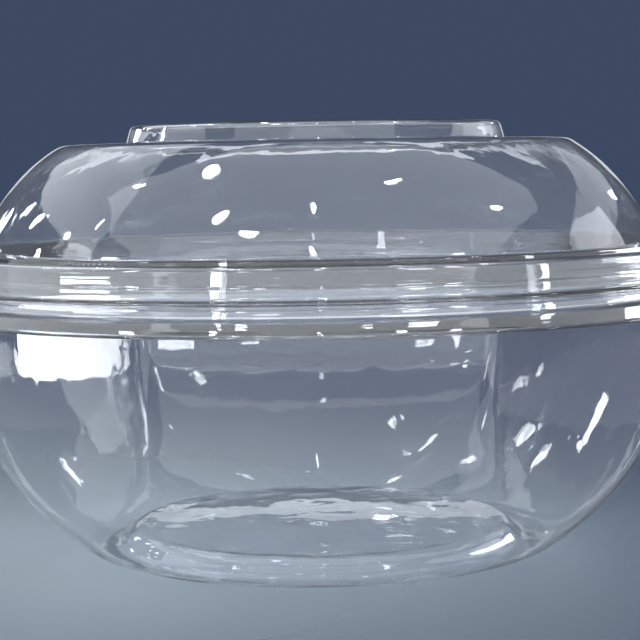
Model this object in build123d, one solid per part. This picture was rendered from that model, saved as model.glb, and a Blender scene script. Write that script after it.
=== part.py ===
from build123d import *
import math
import os

# Clear plastic salad bowl with a clear dome lid, each formed from one thin sheet.
# Millimetres, +Z up. The origin is on the floor, under the centre of the bowl.
# The front of the bowl looks along -Y.

# Sheet and fit
wall = 0.5
lid_clearance = 0.3
stack_clearance = 0.4
overrun = 4.0

# Rims, shared by the bowl and the lid
rim_diameter = 185.0
bead_cut = 0.8
fold_cut = 0.6

# Bowl
bowl_height = 63.0
neck_height = 7.0
neck_step = 0.7
rim_width = 6.5
skirt_depth = 6.4
skirt_flare = 0.7
hem_width = 0.9
foot_radius = 54.0
foot_corner_cut = 1.4
foot_land_width = 7.4
foot_step_width = 1.8
upright_rise = 1.6

# Lid, with heights from its seat on the bowl
lid_bead_height = 7.0
lid_lip_width = 2.6
lid_plug_depth = 3.6
lid_groove_width = 1.2
lid_dome_step = 0.7
lid_dome_foot_rise = 7.7
lid_plateau_rise = 31.2
lid_plateau_radius = 59.5
lid_plateau_cut = 1.0
ring_taper = 1.2
ring_height = 4.2
ring_cut = 0.7
ring_width = 4.5
ring_dish_depth = 1.0
ring_dish_step = 0.8

# Arched panels, the same number round the bowl and the lid
panel_count = 5
bowl_panel_axis_offset = 70.0
lid_panel_axis_offset = 30.0
bowl_panel_low_height = 2.0
bowl_panel_low_step = 2.5
bowl_panel_top_inset = 8.5
lid_panel_foot_inset = 5.0
lid_panel_top_inset = 0.56
bowl_turn = 36.0
lid_turn = 3.0
front_angle = -90.0

# A cut corner is this share of the sheet shorter on its inner side
inner_cut_share = 0.6

# Where the middle of each curve lies, as shares of its width and its height
lid_dome_width_share = 0.5625
lid_dome_height_share = 0.404
bowl_panel_width_share = 0.719
bowl_panel_height_share = 0.463
lid_panel_width_share = 0.637
lid_panel_height_share = 0.464

# The neck is the upright wall round the bowl's mouth that the lid's plug goes into
rim_radius = rim_diameter / 2
bowl_shelf_height = bowl_height - neck_height
wall_top_radius = rim_radius - rim_width
neck_radius = wall_top_radius + neck_step
neck_inside = neck_radius - wall
skirt_foot_radius = rim_radius - hem_width
skirt_top_radius = skirt_foot_radius - skirt_flare

# The bowl's round wall is one arc, upright just over the shelf
upright_height = bowl_shelf_height + upright_rise
wall_width = wall_top_radius - foot_radius
wall_arc_radius = (wall_width ** 2 + upright_height ** 2) / (2 * wall_width)

# The lid's seat is the bowl's flat rim, with the clearance over it
lid_seat_height = bowl_height + lid_clearance
lid_bead_top = lid_seat_height + lid_bead_height
lid_wall_radius = rim_radius - lid_lip_width
lid_dome_foot_height = lid_seat_height + lid_dome_foot_rise
lid_plateau_height = lid_seat_height + lid_plateau_rise
plug_radius = neck_inside - lid_clearance
plug_inside = plug_radius - wall
dome_step_radius = plug_inside - lid_groove_width
lid_dome_foot_radius = dome_step_radius - lid_dome_step

# The lid's ring goes into the recess under the foot of the next bowl in a stack
foot_inner_radius = foot_radius - foot_land_width
recess_radius = foot_inner_radius - foot_step_width
ring_foot_radius = recess_radius - stack_clearance
foot_recess = ring_height + stack_clearance


def region(lines, corners=()):
    """The face on the XZ plane inside closed lines, with the named corners cut off."""
    face = make_face([edge for line in lines for edge in line.edges()])
    for place, length in corners:
        corner = face.vertices().sort_by_distance(place)[0]
        face = chamfer(corner, length)
    return Plane.XZ * face


def turned(face):
    """The solid that a face makes when it turns about the Z axis."""
    return revolve(face, axis=Axis.Z)


def cylinder(radius, low, high):
    return Pos(0, 0, low) * Cylinder(radius, high - low, align=(Align.CENTER, Align.CENTER, Align.MIN))


def inset_arc(first, middle, last, inset):
    """The arc through three points, drawn nearer to its own centre by the inset."""
    chords = [(middle[i] - first[i], last[i] - first[i]) for i in (0, 1)]
    sides = [sum(chords[i][k] * (first[i] + (middle, last)[k][i]) for i in (0, 1)) / 2 for k in (0, 1)]
    spread = chords[0][0] * chords[1][1] - chords[0][1] * chords[1][0]
    centre_x = (sides[0] * chords[1][1] - sides[1] * chords[1][0]) / spread
    centre_y = (sides[1] * chords[0][0] - sides[0] * chords[0][1]) / spread

    def moved(point):
        across = point[0] - centre_x
        up = point[1] - centre_y
        kept = 1 - inset / math.hypot(across, up)
        return (centre_x + across * kept, centre_y + up * kept)

    return ThreePointArc(moved(first), moved(middle), moved(last))


def between(start, end, width_share, height_share):
    """The place at the given shares of the way from one place to another."""
    across = start[0] + (end[0] - start[0]) * width_share
    return (across, start[1] + (end[1] - start[1]) * height_share)


def panel(places, inset, axis_offset):
    """The body inside one gently curved panel, turned about an axis of its own and higher than the ring."""
    first, middle, last = [(radius + axis_offset, height) for radius, height in places]
    arc = inset_arc(first, middle, last, inset)
    start = arc @ 0
    end = arc @ 1
    low = start.Y - overrun
    high = end.Y + ring_height + overrun
    frame = Polyline((end.X, end.Y), (end.X, high), (0, high), (0, low), (start.X, low), (start.X, start.Y))
    return Pos(-axis_offset, 0, 0) * turned(region([arc, frame]))


def panels(places, inset, axis_offset, turn):
    """The body that lies inside every panel of one piece."""
    one = panel(places, inset, axis_offset)
    body = None
    for index in range(panel_count):
        placed = Rot(0, 0, front_angle + turn + index * 360 / panel_count) * one
        body = placed if body is None else body & placed
    return body


def toward(start, end, distance):
    """The place at a distance from one place on the way to another."""
    share = distance / math.hypot(end[0] - start[0], end[1] - start[1])
    return between(start, end, share, share)


def sheet_ring(points, cuts, side):
    """A sheet one wall thick along a line with cut corners, turned about the Z axis."""
    places = [points[0]]
    for before, corner, after, cut in zip(points, points[1:], points[2:], cuts):
        places.append(toward(corner, before, cut))
        places.append(toward(corner, after, cut))
    places.append(points[-1])
    strip = offset(Polyline(*places), amount=wall, side=side, kind=Kind.INTERSECTION)
    return turned(region([strip]))


def bowl_wall_at(height, inset):
    """The radius of the bowl's round wall at a height."""
    rise = height - upright_height
    run = math.sqrt((wall_arc_radius - inset) ** 2 - rise ** 2)
    return wall_top_radius - wall_arc_radius + run


def bowl_round(inset, top):
    """The bowl's round body with its foot and recess, under a given top."""
    recess = foot_recess + inset
    middle = (inset + top) / 2
    foot_corner = (bowl_wall_at(inset, inset), inset)
    side = ThreePointArc(*[(bowl_wall_at(height, inset), height) for height in (inset, middle, top)])
    frame = Polyline(
        side @ 1,
        (0, top),
        (0, recess),
        (recess_radius, recess),
        (foot_inner_radius, inset),
        foot_corner,
    )
    cut = foot_corner_cut - inset * inner_cut_share
    return turned(region([side, frame], [(foot_corner, cut)]))


def bowl_body(inset, top):
    low = (foot_radius + bowl_panel_low_step, bowl_panel_low_height)
    high = (wall_top_radius - bowl_panel_top_inset, bowl_shelf_height)
    middle = between(low, high, bowl_panel_width_share, bowl_panel_height_share)
    return bowl_round(inset, top) & panels((low, middle, high), inset, bowl_panel_axis_offset, bowl_turn)


def bowl_rim():
    """The flat rim and its skirt, from the neck outwards and down to the hem."""
    skirt_foot = bowl_height - skirt_depth + wall
    points = [
        (neck_inside, bowl_shelf_height + overrun),
        (neck_inside, bowl_height),
        (skirt_top_radius, bowl_height),
        (skirt_foot_radius, skirt_foot),
        (rim_radius, skirt_foot),
    ]
    return sheet_ring(points, (bead_cut, bead_cut, fold_cut), Side.RIGHT)


def make_bowl():
    shelf_top = bowl_shelf_height + wall
    neck_top = bowl_shelf_height + overrun
    outside = bowl_body(0, neck_top) + cylinder(neck_radius, bowl_shelf_height, neck_top)
    inside = bowl_body(wall, neck_top) + cylinder(neck_inside, shelf_top, neck_top)
    return outside - inside + bowl_rim()


def lid_round(inset, bottom):
    """The lid's round dome with its flat top and stacking ring, over a given bottom."""
    low = (lid_dome_foot_radius, lid_dome_foot_height)
    high = (lid_plateau_radius, lid_plateau_height)
    middle = between(high, low, lid_dome_width_share, lid_dome_height_share)
    dome = inset_arc(low, middle, high, inset)
    foot = dome @ 0
    plateau_edge = dome @ 1
    ring_top = lid_plateau_height + ring_height - inset
    ring_top_radius = ring_foot_radius - ring_taper
    ring_edge = (ring_top_radius - inset, ring_top)
    dish_radius = ring_top_radius - ring_width
    frame = Polyline(
        plateau_edge,
        (ring_foot_radius - inset, plateau_edge.Y),
        ring_edge,
        (dish_radius, ring_top),
        (dish_radius - ring_dish_step, ring_top - ring_dish_depth),
        (0, ring_top - ring_dish_depth),
        (0, bottom),
        (foot.X, bottom),
        foot,
    )
    plateau_place = (plateau_edge.X, plateau_edge.Y)
    shorter = inset * inner_cut_share
    corners = [(plateau_place, lid_plateau_cut - shorter), (ring_edge, ring_cut - shorter)]
    return turned(region([dome, frame], corners))


def lid_body(inset, bottom):
    low = (lid_dome_foot_radius - lid_panel_foot_inset, lid_dome_foot_height)
    high = (lid_plateau_radius - lid_panel_top_inset, lid_plateau_height)
    middle = between(high, low, lid_panel_width_share, lid_panel_height_share)
    return lid_round(inset, bottom) & panels((low, middle, high), inset, lid_panel_axis_offset, lid_turn)


def lid_rim():
    """The lip that lies on the bowl, the bead over it and the plug that goes into the neck."""
    lip_top = lid_seat_height + wall
    plug_floor = bowl_height - lid_plug_depth + wall
    points = [
        (rim_radius, lip_top),
        (lid_wall_radius, lip_top),
        (lid_wall_radius, lid_bead_top),
        (plug_inside, lid_bead_top),
        (plug_inside, plug_floor),
        (dome_step_radius, plug_floor),
        (dome_step_radius, lid_dome_foot_height - overrun),
    ]
    groove_cut = lid_groove_width / 4
    return sheet_ring(points, (fold_cut, bead_cut, bead_cut, groove_cut, groove_cut), Side.LEFT)


def make_lid():
    foot_low = lid_dome_foot_height - overrun
    shelf_low = lid_dome_foot_height - wall
    outside = lid_body(0, foot_low) + cylinder(dome_step_radius, foot_low, lid_dome_foot_height)
    inside = lid_body(wall, foot_low) + cylinder(dome_step_radius - wall, foot_low, shelf_low)
    return outside - inside + lid_rim()


def write(name, shape):
    solid = shape.solid()
    solid.label = name
    export_step(solid, "parts/" + name + ".step")


os.makedirs("parts", exist_ok=True)
write("bowl", make_bowl())
write("lid", make_lid())
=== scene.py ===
import math
import bmesh
import bpy
from mathutils import Matrix, Vector


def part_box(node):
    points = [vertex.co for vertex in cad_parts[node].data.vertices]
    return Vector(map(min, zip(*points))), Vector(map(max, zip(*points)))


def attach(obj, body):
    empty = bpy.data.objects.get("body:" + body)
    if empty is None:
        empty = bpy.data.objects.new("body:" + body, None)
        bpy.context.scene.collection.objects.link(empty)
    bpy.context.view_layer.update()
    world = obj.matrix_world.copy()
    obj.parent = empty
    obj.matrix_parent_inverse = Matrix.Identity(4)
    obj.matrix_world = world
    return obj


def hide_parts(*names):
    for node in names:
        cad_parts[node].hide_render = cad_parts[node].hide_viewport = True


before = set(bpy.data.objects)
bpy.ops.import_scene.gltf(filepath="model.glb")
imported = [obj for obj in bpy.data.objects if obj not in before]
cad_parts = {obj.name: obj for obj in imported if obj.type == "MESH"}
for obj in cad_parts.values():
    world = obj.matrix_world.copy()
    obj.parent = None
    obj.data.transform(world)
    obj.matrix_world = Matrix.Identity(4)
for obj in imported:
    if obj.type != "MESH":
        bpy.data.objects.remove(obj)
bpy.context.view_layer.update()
mm = 0.001
tiny = 0.001 * mm
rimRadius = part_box("bowl")[1][0]
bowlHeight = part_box("bowl")[1][2]

# The formed sheet that both pieces are made of
sheetSpec = {
    "wall": 0.5 * mm,
    "gap": 0.3 * mm,            # between the lid and the bowl
    "turnSteps": 360,
    "roundSteps": 4,            # segments in each rounded fold
    "panels": 5,
    "archShares": (0.12, 0.9),  # least and most of its sector that a panel's arch takes at a height
    "crowding": 1.4,            # how much closer the mesh is at the arches and creases
    "widest": 0.2,              # least cosine of the angle at which a panel still counts
    "shelfCorner": 0.33 * mm,   # how far the fold over a panel reaches out
    "merge": 0.002 * mm,        # vertices nearer than this become one
}


def circleThrough(a, b, c):  # centre and radius of the circle through three (radius, height) places
    ax, ay = b[0] - a[0], b[1] - a[1]
    bx, by = c[0] - a[0], c[1] - a[1]
    spread = 2 * (ax * by - ay * bx)
    ux = (by * (ax * ax + ay * ay) - ay * (bx * bx + by * by)) / spread
    uy = (ax * (bx * bx + by * by) - bx * (ax * ax + ay * ay)) / spread
    return a[0] + ux, a[1] + uy, math.hypot(ux, uy)


def shareBetween(start, end, shares):
    return tuple(a + (b - a) * share for a, b, share in zip(start, end, shares))


def panelField(spec, start, end):  # the arched panels of one piece, each on a curve between two places
    middle = shareBetween(start, end, spec["panelMiddleShares"])
    centreX, centreZ, size = circleThrough(start, middle, end)
    bottom, top = min(start[1], end[1]), max(start[1], end[1])
    offset = spec["axisOffset"]
    sector = math.tau / sheetSpec["panels"]
    front = math.radians(spec["turn"] - 90)
    least, most = (share * sector / 2 for share in sheetSpec["archShares"])

    def reachAt(height):
        held = min(max(height, bottom), top)
        return centreX + math.sqrt(size * size - (held - centreZ) ** 2) + offset

    def gather(angle, radius, height):  # an angle moved so that the mesh follows the edge of the arch
        index = round((angle - front) / sector)
        away = angle - front - index * sector
        edge = (reachAt(height) ** 2 - offset ** 2 - radius ** 2) / (2 * offset * radius)
        arch = min(max(math.acos(min(max(edge, -1), 1)), least), most)
        share = 4 * abs(away) / sector
        if share < 1:
            moved = arch * (1 - (1 - share) ** sheetSpec["crowding"])
        else:
            moved = arch + (sector / 2 - arch) * (share - 1) ** sheetSpec["crowding"]
        return front + index * sector + math.copysign(moved, away)

    def softLeast(radius, angle, height):  # the least of the round radius and the panels', softly joined
        reach = reachAt(height)
        radii = [radius]
        for index in range(sheetSpec["panels"]):
            away = angle - front - index * sector
            if math.cos(away) > sheetSpec["widest"]:
                side = offset * math.sin(away)
                radii.append(math.sqrt(reach * reach - side * side) - offset * math.cos(away))
        lowest = min(radii)
        blend = spec["blend"]
        return lowest - blend * math.log(sum(math.exp((lowest - value) / blend) for value in radii))
    return gather, softLeast


def drawLine(bm, corners):  # a line of (radius, height, round) corners, each round a rounded fold
    points = [bm.verts.new((radius, 0, height)) for radius, height, _ in corners]
    for start, end in zip(points, points[1:]):
        bm.edges.new((start, end))
    rounds = {}
    for point, corner in zip(points, corners):
        if corner[2]:
            rounds.setdefault(corner[2], []).append(point)
    for size, chosen in rounds.items():
        bmesh.ops.bevel(bm, geom=chosen, offset=size, offset_type="OFFSET", segments=sheetSpec["roundSteps"],
                        profile=0.5, affect="VERTICES", material=-1)


def turnLine(bm):  # the line spun into a closed surface of revolution
    bmesh.ops.spin(bm, geom=bm.verts[:] + bm.edges[:], cent=(0, 0, 0), axis=(0, 0, 1), dvec=(0, 0, 0),
                   angle=math.tau, steps=sheetSpec["turnSteps"], use_merge=True, use_duplicate=False)
    bmesh.ops.remove_doubles(bm, verts=bm.verts[:], dist=sheetSpec["merge"])
    bmesh.ops.recalc_face_normals(bm, faces=bm.faces[:])


def pullIn(bm, field, footRadius, shelf, zone):  # presses the arched panels into the round body
    gather, softLeast = field
    for vert in bm.verts:
        radius, height = vert.co.xy.length, vert.co.z
        if not zone(radius, height):
            continue
        if abs(height - shelf) < tiny and radius > footRadius + sheetSpec["shelfCorner"]:
            continue
        angle = math.atan2(vert.co.y, vert.co.x)
        if radius <= footRadius + tiny:
            angle = gather(angle, radius, height)
            moved = softLeast(radius, angle, height)
        else:
            angle = gather(angle, footRadius, shelf)
            moved = radius + softLeast(footRadius, angle, shelf) - footRadius
        vert.co.x = moved * math.cos(angle)
        vert.co.y = moved * math.sin(angle)


def sheetPiece(name, bm, outwardDown):  # one formed sheet from its outer surface
    central = min(bm.faces, key=lambda face: face.calc_center_median().xy.length)
    if (central.normal.z < 0) != outwardDown:
        bmesh.ops.reverse_faces(bm, faces=bm.faces[:])
    mesh = bpy.data.meshes.new(name)
    bm.to_mesh(mesh)
    bm.free()
    mesh.shade_smooth()
    piece = bpy.data.objects.new(name, mesh)
    bpy.context.scene.collection.objects.link(piece)
    skin = piece.modifiers.new("sheet", "SOLIDIFY")
    skin.thickness = sheetSpec["wall"]
    skin.offset = -1
    skin.use_even_offset = True
    return piece


bowlSpec = {
    "neckHeight": 7 * mm,
    "neckStep": 0.7 * mm,
    "rimWidth": 6.5 * mm,
    "rimRound": 0.9 * mm,
    "skirtDepth": 6.4 * mm,
    "skirtFlare": 0.7 * mm,
    "ridge": (0.25 * mm, 2.7 * mm),    # out from the skirt's top, and down from the rim
    "groove": (-0.05 * mm, 3.3 * mm),
    "ridgeRound": 0.25 * mm,
    "hemWidth": 0.9 * mm,
    "hemRound": 0.7 * mm,
    "shelfRound": 0.3 * mm,
    "footRadius": 54 * mm,
    "footRound": 2.6 * mm,
    "footStep": 1.8 * mm,
    "recess": 4.6 * mm,
    "recessRadius": 44.8 * mm,
    "recessRound": 2.2 * mm,
    "uprightRise": 1.6 * mm,           # the wall is upright this far over the shelf
    "wallSteps": 46,
    "firstStep": 2,                    # the steps under this one lie in the foot's rounding
    "panelLow": (2.5 * mm, 2 * mm),    # out from the foot's edge, and up
    "panelMiddleShares": (0.719, 0.463),
    "panelTopInset": 8.5 * mm,
    "panelStart": 4 * mm,              # how far in from the foot's edge the panels reach
    "axisOffset": 70 * mm,             # each panel turns about an axis this far behind the middle
    "blend": 0.6 * mm,                 # softness where a panel meets the round body
    "turn": 36,                        # degrees from the front to the middle of a panel
}


def makeBowl(spec):
    shelf = bowlHeight - spec["neckHeight"]
    wallTop = rimRadius - spec["rimWidth"]
    neck = wallTop + spec["neckStep"]
    underRim = bowlHeight - sheetSpec["wall"]
    hemTop = bowlHeight - spec["skirtDepth"]
    skirtFoot = rimRadius - spec["hemWidth"] - sheetSpec["wall"]
    skirtTop = skirtFoot - spec["skirtFlare"]
    ridge, groove = spec["ridge"], spec["groove"]
    upright = shelf + spec["uprightRise"]
    width = wallTop - spec["footRadius"]
    arcRadius = (width ** 2 + upright ** 2) / (2 * width)
    corners = [
        (0, spec["recess"], 0),
        (spec["recessRadius"], spec["recess"], spec["recessRound"]),
        (spec["recessRadius"] + spec["footStep"], 0, spec["recessRound"]),
        (spec["footRadius"], 0, spec["footRound"]),
    ]
    for index in range(spec["firstStep"], spec["wallSteps"]):  # the wall, one arc up to the shelf
        height = shelf * index / spec["wallSteps"]
        corners.append((wallTop - arcRadius + math.sqrt(arcRadius ** 2 - (height - upright) ** 2), height, 0))
    corners += [
        (wallTop, shelf, spec["shelfRound"]),
        (neck, shelf, spec["shelfRound"]),
        (neck, underRim, spec["rimRound"]),
        (skirtTop, underRim, spec["rimRound"]),
        (skirtTop + ridge[0], bowlHeight - ridge[1], spec["ridgeRound"]),
        (skirtTop + groove[0], bowlHeight - groove[1], spec["ridgeRound"]),
        (skirtFoot, hemTop, spec["hemRound"]),
        (rimRadius, hemTop, 0),
    ]

    def inWall(radius, height):
        return spec["footRadius"] - spec["panelStart"] < radius < neck and height < shelf + tiny

    panelFoot = (spec["footRadius"] + spec["panelLow"][0], spec["panelLow"][1])
    field = panelField(spec, panelFoot, (wallTop - spec["panelTopInset"], shelf))
    bm = bmesh.new()
    drawLine(bm, corners)
    turnLine(bm)
    pullIn(bm, field, wallTop, shelf, inWall)
    return sheetPiece("bowlSheet", bm, True)


lidSpec = {
    "lipRound": 0.6 * mm,
    "lipWidth": 2.6 * mm,
    "beadHeight": 7 * mm,
    "beadRounds": (1.2 * mm, 0.9 * mm),    # at the bead's outer and inner edge
    "beadStep": 0.35 * mm,                 # the bead's wall steps in by this
    "beadStepRises": (2.6 * mm, 3.1 * mm),
    "beadStepRound": 0.3 * mm,
    "plugDepth": 3.6 * mm,
    "plugRound": 0.4 * mm,
    "grooveWidth": 1.2 * mm,
    "domeStep": 0.7 * mm,
    "domeFootRise": 7.7 * mm,
    "domeFootRound": 0.3 * mm,
    "domeSteps": 40,
    "domeMiddleShares": (0.5625, 0.404),
    "plateauRise": 31.2 * mm,
    "plateauRadius": 59.5 * mm,
    "plateauRound": 1.4 * mm,
    "ringRadius": 44.4 * mm,
    "ringTaper": 1.2 * mm,
    "ringHeight": 4.2 * mm,
    "ringWidth": 4.5 * mm,
    "ringRounds": (0.6 * mm, 0.9 * mm),    # at the ring's foot and at its top
    "dishDepth": 1 * mm,
    "dishStep": 0.8 * mm,
    "dishRound": 0.5 * mm,
    "panelFootInset": 5 * mm,
    "panelMiddleShares": (0.637, 0.464),   # from the panel's top down to its foot
    "panelTopInset": 0.56 * mm,
    "panelStart": 1 * mm,                  # how far out from the ring the panels begin
    "axisOffset": 30 * mm,
    "blend": 0.2 * mm,
    "turn": 3,                             # degrees from the front to the middle of a panel
}


def makeLid(spec):
    wall = sheetSpec["wall"]
    seat = bowlHeight + sheetSpec["gap"]
    beadWall = rimRadius - spec["lipWidth"]
    beadInner = beadWall - spec["beadStep"]
    beadTop = seat + spec["beadHeight"]
    stepLow, stepHigh = spec["beadStepRises"]
    neckInside = rimRadius - bowlSpec["rimWidth"] + bowlSpec["neckStep"] - wall
    plug = neckInside - sheetSpec["gap"] - wall
    plugFloor = bowlHeight - spec["plugDepth"] + wall
    domeFoot = plug - spec["grooveWidth"]
    domeStart = domeFoot - spec["domeStep"]
    shelf = seat + spec["domeFootRise"]
    plateau = seat + spec["plateauRise"]
    ringTop = plateau + spec["ringHeight"]
    ringTopRadius = spec["ringRadius"] - spec["ringTaper"]
    dish = ringTopRadius - spec["ringWidth"]
    corners = [
        (rimRadius, seat + wall, 0),
        (beadWall, seat + wall, spec["lipRound"]),
        (beadWall, seat + stepLow, spec["beadStepRound"]),
        (beadInner, seat + stepHigh, spec["beadStepRound"]),
        (beadInner, beadTop, spec["beadRounds"][0]),
        (plug, beadTop, spec["beadRounds"][1]),
        (plug, plugFloor, spec["plugRound"]),
        (domeFoot, plugFloor, spec["plugRound"]),
        (domeFoot, shelf, spec["domeFootRound"]),
        (domeStart, shelf, spec["domeFootRound"]),
    ]
    low = (domeStart, shelf)
    high = (spec["plateauRadius"], plateau)
    centreX, centreZ, size = circleThrough(low, shareBetween(high, low, spec["domeMiddleShares"]), high)
    for index in range(1, spec["domeSteps"] - 1):  # the dome, one arc up to the flat top
        height = shelf + (plateau - shelf) * index / spec["domeSteps"]
        corners.append((centreX + math.sqrt(size ** 2 - (height - centreZ) ** 2), height, 0))
    corners += [
        (spec["plateauRadius"], plateau, spec["plateauRound"]),
        (spec["ringRadius"], plateau, spec["ringRounds"][0]),
        (ringTopRadius, ringTop, spec["ringRounds"][1]),
        (dish, ringTop, spec["dishRound"]),
        (dish - spec["dishStep"], ringTop - spec["dishDepth"], spec["dishRound"]),
        (0, ringTop - spec["dishDepth"], 0),
    ]

    def inDome(radius, height):
        return spec["ringRadius"] + spec["panelStart"] < radius < domeFoot and height > shelf - tiny

    panelTop = (spec["plateauRadius"] - spec["panelTopInset"], plateau)
    field = panelField(spec, panelTop, (domeStart - spec["panelFootInset"], shelf))
    bm = bmesh.new()
    drawLine(bm, corners)
    turnLine(bm)
    pullIn(bm, field, domeStart, shelf, inDome)
    return sheetPiece("lidSheet", bm, False)


def addNode(tree, kind, sockets=None, **settings):  # a node whose sockets take a value or another's output
    node = tree.nodes.new(kind)
    for key, value in settings.items():
        setattr(node, key, value)
    for key, value in (sockets or {}).items():
        if isinstance(value, bpy.types.NodeSocket):
            tree.links.new(value, node.inputs[key])
        else:
            node.inputs[key].default_value = value
    return node


def noise(tree, place, scale):
    return addNode(tree, "ShaderNodeTexNoise", {"Vector": place, "Scale": scale, "Detail": 1}).outputs["Fac"]


def ramp(tree, value, start, end, low=0, high=1, **settings):
    sockets = {"Value": value, "From Min": start, "From Max": end, "To Min": low, "To Max": high}
    return addNode(tree, "ShaderNodeMapRange", sockets, **settings).outputs["Result"]


def softRamp(tree, value, start, end, low=0, high=1):
    return ramp(tree, value, start, end, low, high, interpolation_type="SMOOTHSTEP")


def times(tree, first, second):
    return addNode(tree, "ShaderNodeMath", {0: first, 1: second}, operation="MULTIPLY").outputs["Value"]


def bump(tree, height, depth, normal=None):
    sockets = {"Height": height, "Distance": depth, "Strength": 1}
    if normal:
        sockets["Normal"] = normal
    return addNode(tree, "ShaderNodeBump", sockets).outputs["Normal"]


bowlLook = {
    "colour": (0.97, 0.975, 0.985, 1),
    "shade": (0.94, 0.945, 0.95, 1),   # the light that one sheet lets through to its shadow
    "ior": 1.57,
    "clearness": 0.992,
    "roughness": (0, 0.06),
    "hazeRange": (0.52, 0.8),          # where in the waves the roughness starts and ends
    "waveScale": 55,
    "waveDepth": 0.2 * mm,
    "waveStretch": (1, 1, 0.4),
    "drape": 1.7,                      # how much deeper the waves are at the foot
    "drapeRange": (0.035, 0.004),
    "grainScale": 190,
    "grainDepth": 0.035 * mm,
    "streakScale": (22, 22, 1000),     # fine level lines round the rims
    "streakDepth": 0.05 * mm,
    "streakStart": (0.0555, 0.058),
    "streakEnd": (0.0725, 0.0705),
}
lidLook = dict(bowlLook, waveScale=62, waveDepth=0.18 * mm)


def clearSheet(name, look):  # clear glossy sheet with the slight waves of a formed wall
    material = bpy.data.materials.new(name)
    material.use_nodes = True
    tree = material.node_tree
    tree.nodes.clear()
    place = addNode(tree, "ShaderNodeTexCoord").outputs["Object"]
    height = addNode(tree, "ShaderNodeSeparateXYZ", {"Vector": place}).outputs["Z"]
    stretched = addNode(tree, "ShaderNodeMapping", {"Vector": place, "Scale": look["waveStretch"]})
    level = addNode(tree, "ShaderNodeMapping", {"Vector": place, "Scale": look["streakScale"]})
    waves = noise(tree, stretched.outputs["Vector"], look["waveScale"])
    streaks = noise(tree, level.outputs["Vector"], 1)
    grain = noise(tree, place, look["grainScale"])
    drape = softRamp(tree, height, *look["drapeRange"], 1, look["drape"])
    rims = times(tree, softRamp(tree, height, *look["streakStart"]), softRamp(tree, height, *look["streakEnd"]))
    normal = bump(tree, times(tree, waves, drape), look["waveDepth"])
    normal = bump(tree, times(tree, streaks, rims), look["streakDepth"], normal)
    normal = bump(tree, times(tree, grain, drape), look["grainDepth"], normal)
    shader = addNode(tree, "ShaderNodeBsdfPrincipled", {
        "Base Color": look["colour"],
        "Roughness": ramp(tree, waves, *look["hazeRange"], *look["roughness"]),
        "IOR": look["ior"],
        "Transmission Weight": look["clearness"],
        "Normal": normal,
    })
    through = addNode(tree, "ShaderNodeBsdfTransparent", {"Color": look["shade"]})
    rays = addNode(tree, "ShaderNodeLightPath")
    mix = addNode(tree, "ShaderNodeMixShader", {
        0: rays.outputs["Is Shadow Ray"],
        1: shader.outputs["BSDF"],
        2: through.outputs["BSDF"],
    })
    addNode(tree, "ShaderNodeOutputMaterial", {"Surface": mix.outputs["Shader"]})
    return material


floorSpec = {
    "size": 3,
    "colour": (0.138, 0.165, 0.185, 1),
    "roughness": 0.6,
    "centre": (-0.1, 0, 0),
    "fade": (-0.016, 0.307),  # the table runs out into the backdrop over these distances
}


def makeFloor(spec):
    bm = bmesh.new()
    bmesh.ops.create_grid(bm, x_segments=1, y_segments=1, size=spec["size"] / 2)
    mesh = bpy.data.meshes.new("floor")
    bm.to_mesh(mesh)
    bm.free()
    floor = bpy.data.objects.new("floor", mesh)
    bpy.context.scene.collection.objects.link(floor)
    material = bpy.data.materials.new("paleFloor")
    material.use_nodes = True
    tree = material.node_tree
    shader = tree.nodes["Principled BSDF"]
    shader.inputs["Base Color"].default_value = spec["colour"]
    shader.inputs["Roughness"].default_value = spec["roughness"]
    place = addNode(tree, "ShaderNodeTexCoord").outputs["Object"]
    shift = addNode(tree, "ShaderNodeVectorMath", {0: place, 1: spec["centre"]}, operation="SUBTRACT")
    reach = addNode(tree, "ShaderNodeVectorMath", {0: shift.outputs["Vector"]}, operation="LENGTH")
    mix = addNode(tree, "ShaderNodeMixShader", {
        0: softRamp(tree, reach.outputs["Value"], *spec["fade"]),
        1: shader.outputs["BSDF"],
        2: addNode(tree, "ShaderNodeBsdfTransparent").outputs["BSDF"],
    })
    tree.links.new(mix.outputs[0], tree.nodes["Material Output"].inputs["Surface"])
    mesh.materials.append(material)


worldSpec = {
    "backdrop": (0.048, 0.069, 0.122, 1),
    "mirrored": (0.06, 0.07, 0.1, 1),
    "room": (0.12, 0.13, 0.15, 1),
}


def makeWorld(spec):
    world = bpy.data.worlds.new("room")
    world.use_nodes = True
    bpy.context.scene.world = world
    tree = world.node_tree
    backdrop = tree.nodes["Background"]
    backdrop.inputs["Color"].default_value = spec["backdrop"]
    mirrored = addNode(tree, "ShaderNodeBackground", {"Color": spec["mirrored"]})
    room = addNode(tree, "ShaderNodeBackground", {"Color": spec["room"]})
    rays = addNode(tree, "ShaderNodeLightPath").outputs
    seen = addNode(tree, "ShaderNodeMath", {0: rays["Is Camera Ray"], 1: rays["Is Transmission Ray"]},
                   operation="MAXIMUM")
    around = addNode(tree, "ShaderNodeMixShader",
                     {0: rays["Is Glossy Ray"], 1: room.outputs[0], 2: mirrored.outputs[0]})
    mix = addNode(tree, "ShaderNodeMixShader",
                  {0: seen.outputs[0], 1: around.outputs[0], 2: backdrop.outputs[0]})
    tree.links.new(mix.outputs[0], tree.nodes["World Output"].inputs["Surface"])


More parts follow.
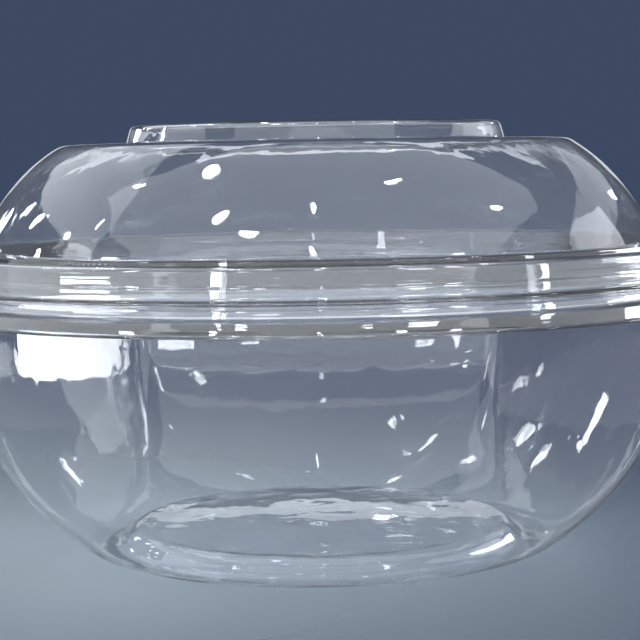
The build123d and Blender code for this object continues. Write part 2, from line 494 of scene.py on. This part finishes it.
# Soft studio boxes: degrees round from the front to the right, degrees up, distance, width, height,
# brightness and twist
lampSpec = {
    # large soft boxes
    "overBox": (0, 76, 1, 1.8, 1.4, 0.64, 0),
    "lowStrip": (0, 14.1, 1.3, 2.5, 0.77, 1.25, 0),
    "midStrip": (0, 37, 1.3, 2.5, 0.32, 0.5, 0),
    "lowLeft": (-73, 13.6, 1.3, 1.6, 0.74, 1.3, 0),
    "lowRight": (86, 13.6, 1.3, 2.5, 0.74, 0.9, 0),
    "rearStrip": (180, 6, 1.3, 0.9, 0.12, 0.6, 0),
    "leftBox": (-118, 41, 1, 1.3, 0.58, 0.72, 0),
    "rightBox": (130, 22, 1, 0.85, 0.22, 0.4, 0),
    # small lamps that the ring, the bead and the skirt pick up
    "ringA": (-55, 28, 1.2, 0.07, 0.2, 30, 0),
    "ringD": (40, 31.5, 1.2, 0.06, 0.2, 24, 0),
    "ringE": (-144, 11, 1.2, 0.06, 0.15, 14, 0),
    "beadA": (-13, -2, 1.2, 0.14, 0.07, 14, 0),
    "beadB": (26, -2, 1.2, 0.1, 0.1, 16, 0),
    "skirtA": (-20, 20.5, 1.2, 0.06, 0.06, 24, 0),
    "skirtB": (13, 20, 1.2, 0.07, 0.03, 20, 0),
    # windows and strips
    "rearWindow": (118, 6, 1, 0.94, 0.24, 16, -17),
    "sideWindow": (28, 18, 1.2, 0.16, 0.13, 9, 0),
    "leftStrip": (-66, 0, 1.2, 0.3, 0.1, 12, 0),
    "rightStrip": (63.5, 7, 1.2, 0.06, 0.44, 12, 0),
    # small round lamps, for the points of light in the dome and the wall
    "spotB": (-102, 75, 1.2, 0.2, 0.05, 44, 0),
    "spotC": (66.5, 52, 1.2, 0.06, 0.045, 40, 0),
    "spotD": (-33, 58, 1.2, 0.05, 0.16, 44, 0),
    "spotE": (-27, 9, 1.2, 0.045, 0.52, 16, 0),
    "spotF": (-115, 17, 1.2, 0.05, 0.09, 36, 0),
    "spotG": (24, 31, 1.2, 0.05, 0.1, 36, 0),
    "spotN": (-30, 27, 1.2, 0.03, 0.06, 36, 0),
    "spotO": (-120, 12, 1.2, 0.04, 0.05, 36, 0),
    "spotP": (-110, 26, 1.2, 0.03, 0.06, 36, 0),
    "spotQ": (-118, 56, 1.2, 0.04, 0.07, 30, 0),
    "spotH": (-97, 42, 1.2, 0.03, 0.2, 30, 0),
    "spotI": (-128, 22, 1.2, 0.04, 0.1, 30, 0),
    "spotJ": (0, 32, 1.2, 0.025, 0.07, 40, 0),
    "spotK": (0, 41, 1.2, 0.02, 0.06, 40, 0),
    "spotL": (2, 64, 1.2, 0.02, 0.14, 26, 0),
    "spotM": (61, 75, 1.2, 0.08, 0.03, 26, 0),
    "spotR": (-18, 49.3, 1.2, 0.07, 0.08, 22, 0),
    "spotU": (144.7, 15.7, 1.2, 0.04, 0.04, 18, 0),
    "spotV": (-137, 20, 1.2, 0.03, 0.08, 14, 0),
    "spotW": (176.6, 8.7, 1.2, 0.03, 0.03, 4, 0),
}
lampLook = {
    "tint": (0.92, 0.96, 1),
    "aim": (0, 0, 0.055),
}


def makeLamps(spec, look):
    aim = Vector(look["aim"])
    for name, (around, up, distance, width, height, brightness, twist) in spec.items():
        lamp = bpy.data.lights.new(name, "AREA")
        lamp.shape = "ELLIPSE" if name.startswith("spot") else "RECTANGLE"
        lamp.size = width
        lamp.size_y = height
        lamp.energy = 4 * width * height * brightness  # equally bright at any size
        lamp.color = look["tint"]
        holder = bpy.data.objects.new(name, lamp)
        side, rise = math.radians(around), math.radians(up)
        away = Vector((math.sin(side) * math.cos(rise), -math.cos(side) * math.cos(rise), math.sin(rise)))
        holder.location = aim + away * distance
        turn = Matrix.Rotation(math.radians(twist), 3, "Z")
        holder.rotation_euler = (away.to_track_quat("Z", "Y").to_matrix() @ turn).to_euler()
        holder.visible_camera = False
        bpy.context.scene.collection.objects.link(holder)


# The photograph's own view: almost level, a little from above
cameraSpec = {
    "place": (0, -0.4369, 0.0894),
    "down": 4.83,
    "roll": -0.98,
    "lens": 103.9,
    "sensor": 36,
    "shiftX": 0.0026,
    "nearest": 0.01,
}


def makeCamera(spec):
    camera = bpy.data.objects.new("camera", bpy.data.cameras.new("camera"))
    camera.data.lens = spec["lens"]
    camera.data.sensor_width = spec["sensor"]
    camera.data.shift_x = spec["shiftX"]
    camera.data.clip_start = spec["nearest"]
    tilt = Matrix.Rotation(math.radians(90 - spec["down"]), 4, "X")
    roll = Matrix.Rotation(math.radians(spec["roll"]), 4, "Z")
    camera.matrix_world = Matrix.Translation(spec["place"]) @ tilt @ roll
    bpy.context.scene.collection.objects.link(camera)
    bpy.context.scene.camera = camera


bowlSheet = makeBowl(bowlSpec)
bowlSheet.data.materials.append(clearSheet("clearBowl", bowlLook))
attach(bowlSheet, "bowl")
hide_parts("bowl")
print("bowl made,", len(bowlSheet.data.polygons), "faces before its thickness")

lidSheet = makeLid(lidSpec)
lidSheet.data.materials.append(clearSheet("clearLid", lidLook))
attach(lidSheet, "lid")
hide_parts("lid")
print("lid made,", len(lidSheet.data.polygons), "faces before its thickness")

makeFloor(floorSpec)
makeWorld(worldSpec)
makeLamps(lampSpec, lampLook)
makeCamera(cameraSpec)
bpy.context.scene.view_settings.view_transform = "Standard"
print("floor, light and camera set")
